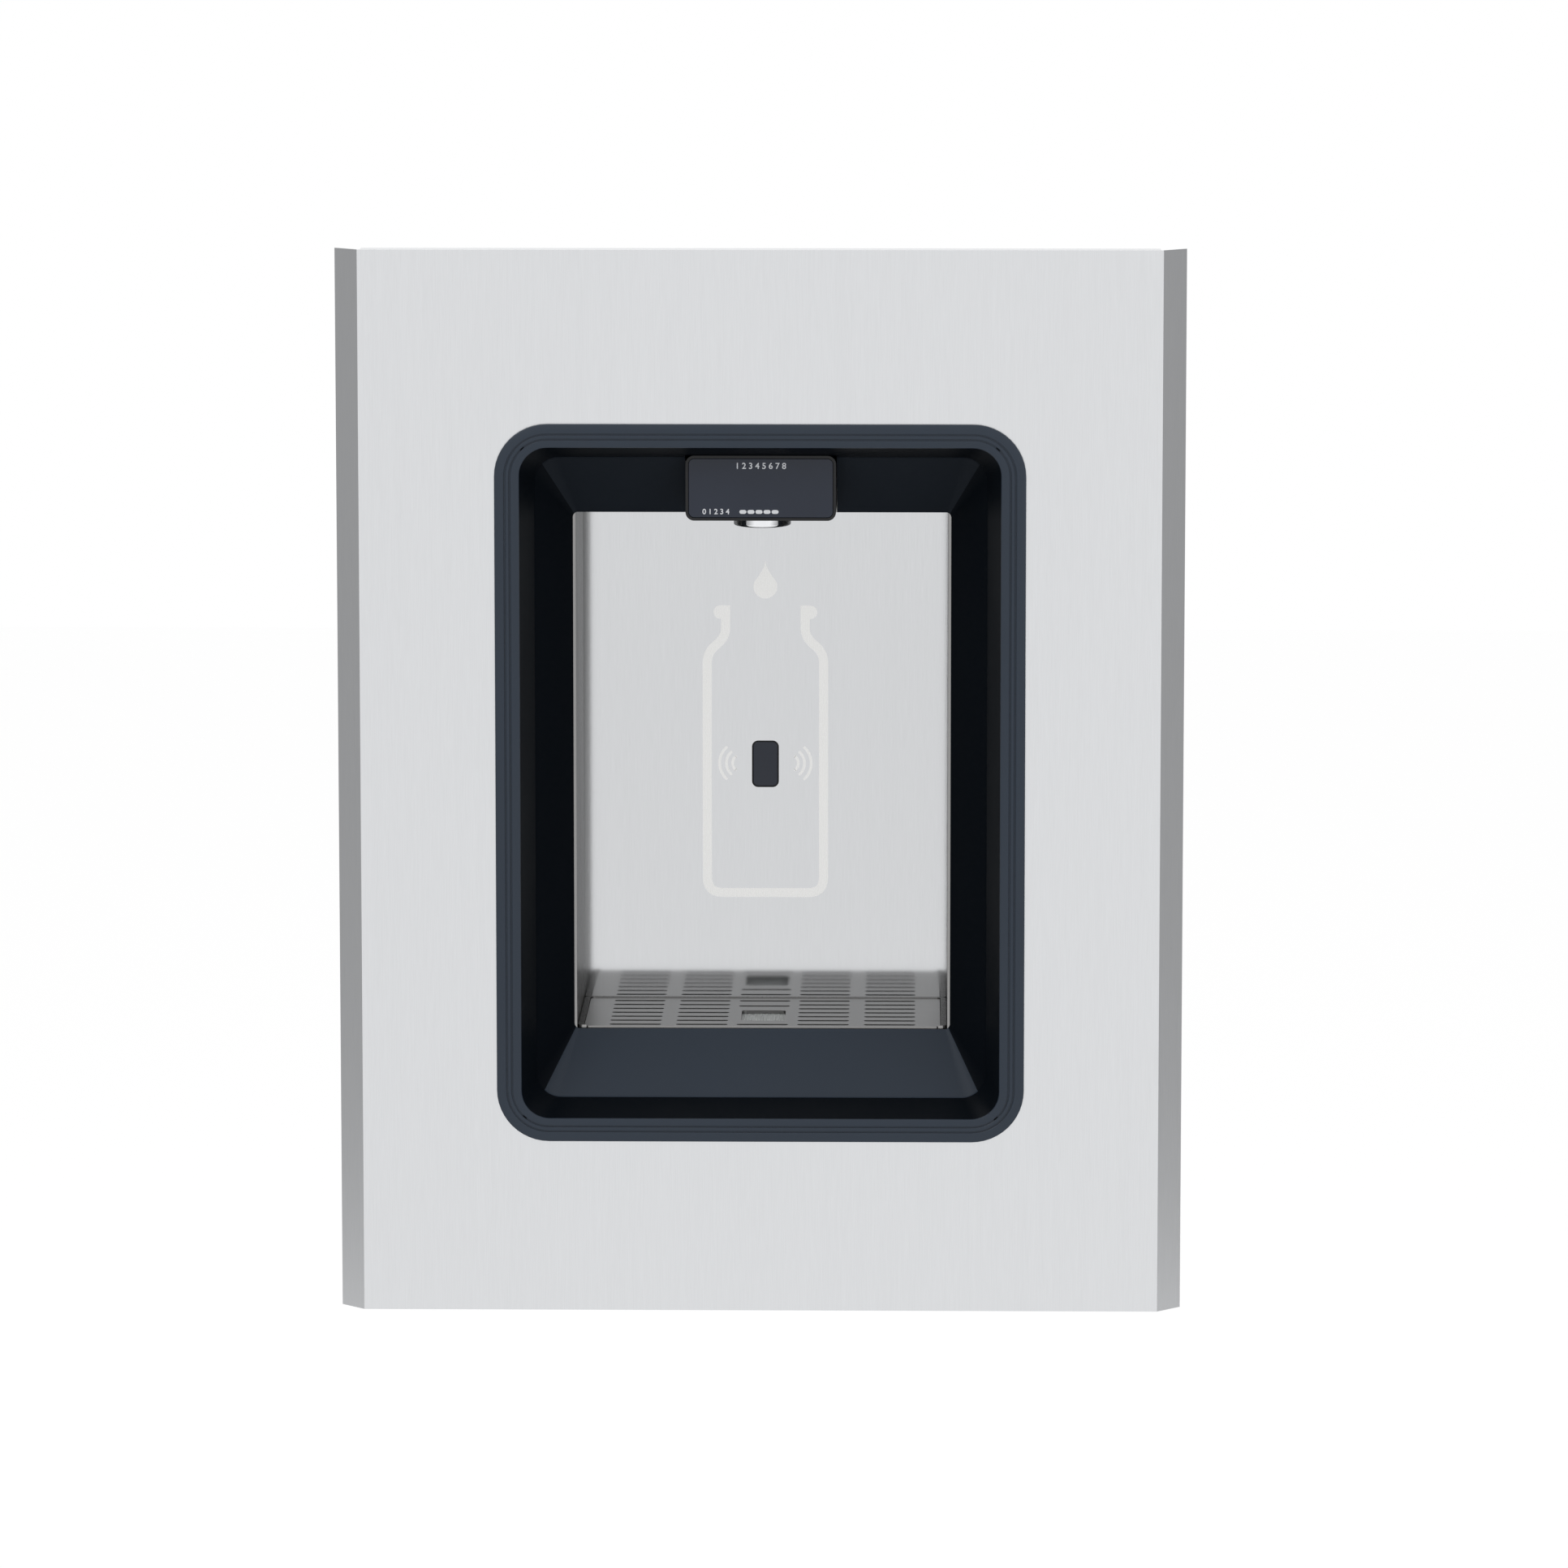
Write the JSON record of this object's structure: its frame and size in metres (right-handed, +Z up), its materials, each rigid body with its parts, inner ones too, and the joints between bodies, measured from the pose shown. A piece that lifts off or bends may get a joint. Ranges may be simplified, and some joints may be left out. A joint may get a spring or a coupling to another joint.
{
  "type": "bottle filling station",
  "caption": "Recessed wall bottle filling station: steel face plate, funnel bezel, niche with lift-out drip grille, nozzle and display, filter and valves behind.",
  "frame": {"origin": "centre of the four wall screw holes, on the plane of the wall behind the ears, which is also the centre of the face plate seen from the front", "axes": "+Z up, +Y into the wall, the front faces -Y, +X to the right seen from the front"},
  "size_m": [0.4842, 0.1882, 0.6238],
  "materials": {
    "galvanised_steel": "satin",
    "brushed_plate": "brushed",
    "brushed_liner": "brushed",
    "screw_steel": "satin",
    "slate_plastic": "satin",
    "black_plastic": "satin",
    "smoked_lens": "gloss",
    "chrome_brass": "mirror",
    "core_steel": "satin",
    "valve_brass": "satin",
    "rubber": "matt",
    "white_plastic": "satin",
    "blue_plastic": "satin",
    "circuit_board": "satin",
    "grey_plastic": "satin"
  },
  "bodies": {
    "station": {"wall_box": "galvanised_steel", "box_floor": "galvanised_steel", "hanger_rail": "galvanised_steel", "plate_hooks": "galvanised_steel", "lower_bracket": "galvanised_steel", "plate_screws": "screw_steel", "face_plate": "brushed_plate", "bezel": "slate_plastic", "bezel_retainer": "galvanised_steel", "bezel_screws": "screw_steel", "niche_liner": "brushed_liner", "niche_straps": "galvanised_steel", "strap_screws": "screw_steel", "back_panel": "brushed_plate", "back_panel_rivets": "screw_steel", "drain_basin": "brushed_liner", "drain_strainer": "chrome_brass", "drain_gasket": "rubber", "drain_locknut": "galvanised_steel", "slip_nut": "chrome_brass", "drain_tailpiece": "chrome_brass", "display_housing": "black_plastic", "display_lens": "smoked_lens", "display_board": "circuit_board", "digit_module": "black_plastic", "nozzle_body": "black_plastic", "nozzle_ring": "chrome_brass", "flow_straightener": "white_plastic", "sensor_window": "smoked_lens", "sensor_housing": "black_plastic", "sensor_board": "circuit_board", "sensor_screws": "screw_steel", "inlet_stub": "valve_brass", "bulkhead_nut": "valve_brass", "stop_valve_body": "valve_brass", "supply_tube": "white_plastic", "filter_bracket": "galvanised_steel", "filter_head": "black_plastic", "filtered_tube": "white_plastic", "flow_regulator": "valve_brass", "riser_tube": "white_plastic", "solenoid_valve": "valve_brass", "solenoid_coil": "black_plastic", "plunger_spring": "screw_steel", "nozzle_tube": "white_plastic", "control_box": "black_plastic", "control_box_lid": "black_plastic", "control_board": "circuit_board", "power_supply": "grey_plastic", "cable_gland": "black_plastic", "internal_cables": "rubber"},
    "grille": {"drip_grille": "brushed_liner", "splash_screen": "galvanised_steel"},
    "stop_valve": {"valve_ball": "chrome_brass", "stop_valve_handle": "blue_plastic"},
    "cartridge": {"filter_cartridge": "white_plastic", "filter_seal": "rubber"},
    "flow_knob": {"regulator_knob": "black_plastic"},
    "core": {"solenoid_plunger": "core_steel", "valve_seal": "rubber"}
  },
  "joints": [
    {"name": "grille_lift", "type": "slide", "parent": "station", "child": "grille", "axis": [0, 0, 1], "range_m": [0, 0.04]},
    {"name": "stop_valve_turn", "type": "hinge", "parent": "station", "child": "stop_valve", "pos_m": [-0.1495, 0.13, -0.2445], "axis": [0, 1, 0], "range_deg": [0, 90]},
    {"name": "cartridge_twist", "type": "hinge", "parent": "station", "child": "cartridge", "pos_m": [-0.1495, 0.056, 0.075], "axis": [0, 0, 1], "range_deg": [0, 60]},
    {"name": "flow_adjust", "type": "hinge", "parent": "station", "child": "flow_knob", "pos_m": [-0.1495, 0.056, 0.173], "axis": [0, 1, 0], "range_deg": [0, 270]},
    {"name": "core_lift", "type": "slide", "parent": "station", "child": "core", "axis": [0, 0, 1], "range_m": [0, 0.003], "stiffness_N_per_m": 300, "springref_m": -0.002, "deforming": ["plunger_spring"]}
  ]
}
